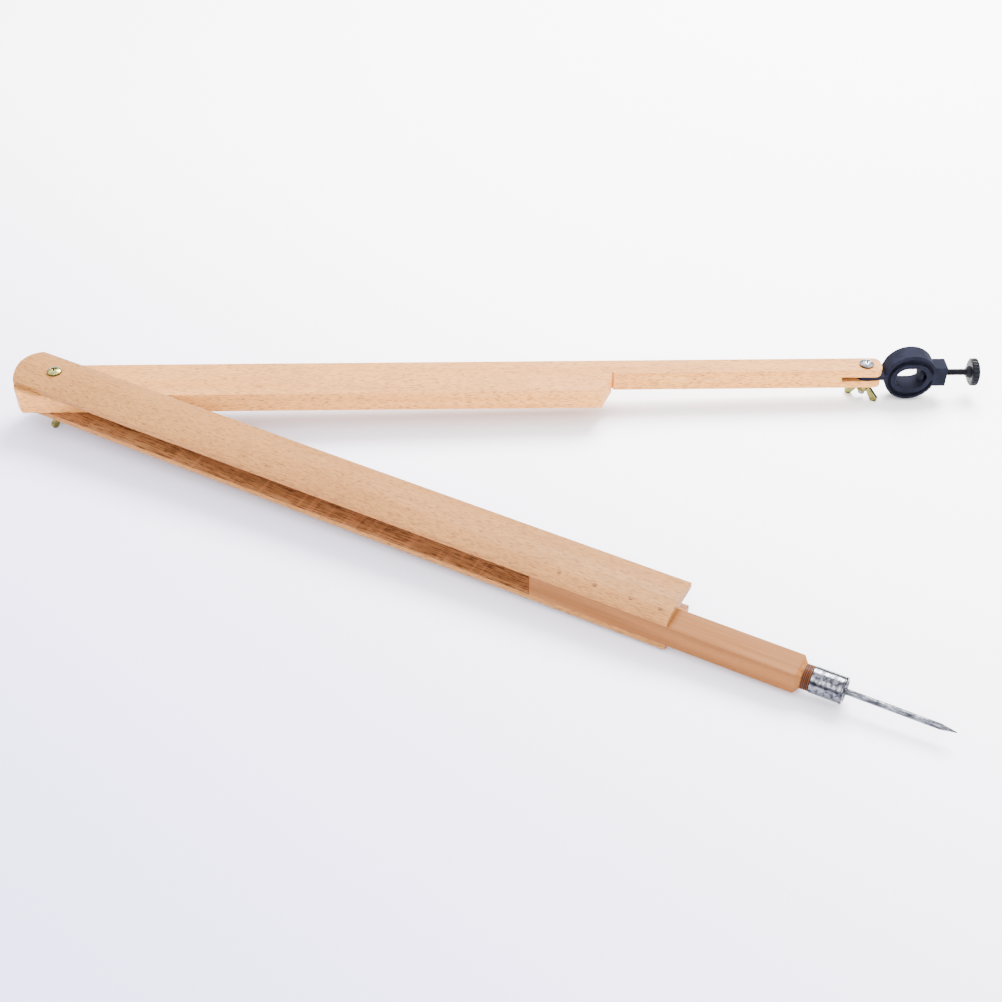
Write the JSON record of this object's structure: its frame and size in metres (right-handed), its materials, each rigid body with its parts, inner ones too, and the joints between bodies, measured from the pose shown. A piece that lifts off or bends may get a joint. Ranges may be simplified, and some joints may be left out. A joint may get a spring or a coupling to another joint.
{
  "type": "board compass",
  "caption": "Wooden board compass with a steel spike on one leg and a swivelling marker clamp on the other, lying half open.",
  "frame": {"origin": "under the middle of the bounding box, level with the lowest point of the pivot wing nut", "axes": "+X along the pen leg from the pivot towards the marker clamp; +Z along the pivot screw towards its head; the spike leg opens towards -Y"},
  "size_m": [0.5562, 0.2838, 0.038],
  "materials": {
    "beech": "thin clear lacquer on planed beech",
    "core_wood": "thin clear lacquer on a darker hardwood",
    "brad_steel": "dull bare steel",
    "zinc_plate": "bright zinc plate",
    "galvanised": "rough galvanised steel",
    "yellow_zinc": "yellow passivated zinc plate",
    "black_plastic": "satin moulded plastic",
    "black_steel": "blackened steel thread"
  },
  "bodies": {
    "spike_leg": {"top_cheek": "beech", "bottom_cheek": "beech", "core_bar": "core_wood", "top_brads": "brad_steel", "bottom_brads": "brad_steel", "ferrule": "zinc_plate", "spike": "galvanised", "pivot_screw": "yellow_zinc"},
    "pen_leg": {"pen_leg_bar": "beech", "clevis_screw": "zinc_plate"},
    "marker_holder": {"marker_holder": "black_plastic", "boss_nut": "zinc_plate"},
    "pressure_pad": {"pressure_pad": "black_plastic"},
    "thumb_screw": {"thumb_screw": "black_steel", "thumb_knob": "black_plastic"},
    "pivot_washer": {"pivot_washer": "yellow_zinc"},
    "pivot_wing_nut": {"pivot_wing_nut": "yellow_zinc"},
    "clevis_washer": {"clevis_washer": "zinc_plate"},
    "clevis_wing_nut": {"clevis_wing_nut": "yellow_zinc"}
  },
  "joints": [
    {"name": "leg_hinge", "type": "hinge", "parent": "spike_leg", "child": "pen_leg", "pos_m": [-0.2535, 0.11815, 0.02315], "axis": [0, 0, 1], "range_deg": [-29, 151]},
    {"name": "holder_swivel", "type": "hinge", "parent": "pen_leg", "child": "marker_holder", "pos_m": [0.2127, 0.12665, 0.02315], "axis": [0, 0, -1], "range_deg": [-110, 110]},
    {"name": "pad_slide", "type": "slide", "parent": "marker_holder", "child": "pressure_pad", "axis": [-1, 0, 0], "range_m": [-0.0031, 0.0125]},
    {"name": "thumb_turn", "type": "hinge", "parent": "pressure_pad", "child": "thumb_screw", "pos_m": [0.2582, 0.12665, 0.02315], "axis": [-1, 0, 0], "range_deg": [-1594.3, 6428.6]},
    {"name": "pivot_washer_slide", "type": "slide", "parent": "spike_leg", "child": "pivot_washer", "axis": [0, 0, -1], "range_m": [0, 0.0014]},
    {"name": "pivot_nut_turn", "type": "hinge", "parent": "pivot_washer", "child": "pivot_wing_nut", "pos_m": [-0.2535, 0.11815, 0.00815], "axis": [0, 0, -1], "range_deg": [0, 720]},
    {"name": "clevis_washer_slide", "type": "slide", "parent": "pen_leg", "child": "clevis_washer", "axis": [0, 0, -1], "range_m": [0, 0.0014]},
    {"name": "clevis_nut_turn", "type": "hinge", "parent": "clevis_washer", "child": "clevis_wing_nut", "pos_m": [0.2127, 0.12665, 0.01415], "axis": [0, 0, -1], "range_deg": [0, 720]}
  ],
  "couplings": [
    {"joint": "thumb_turn", "follows": "pad_slide", "rad_per_m": 8976},
    {"joint": "pivot_nut_turn", "follows": "pivot_washer_slide", "rad_per_m": 8976},
    {"joint": "clevis_nut_turn", "follows": "clevis_washer_slide", "rad_per_m": 8976}
  ]
}
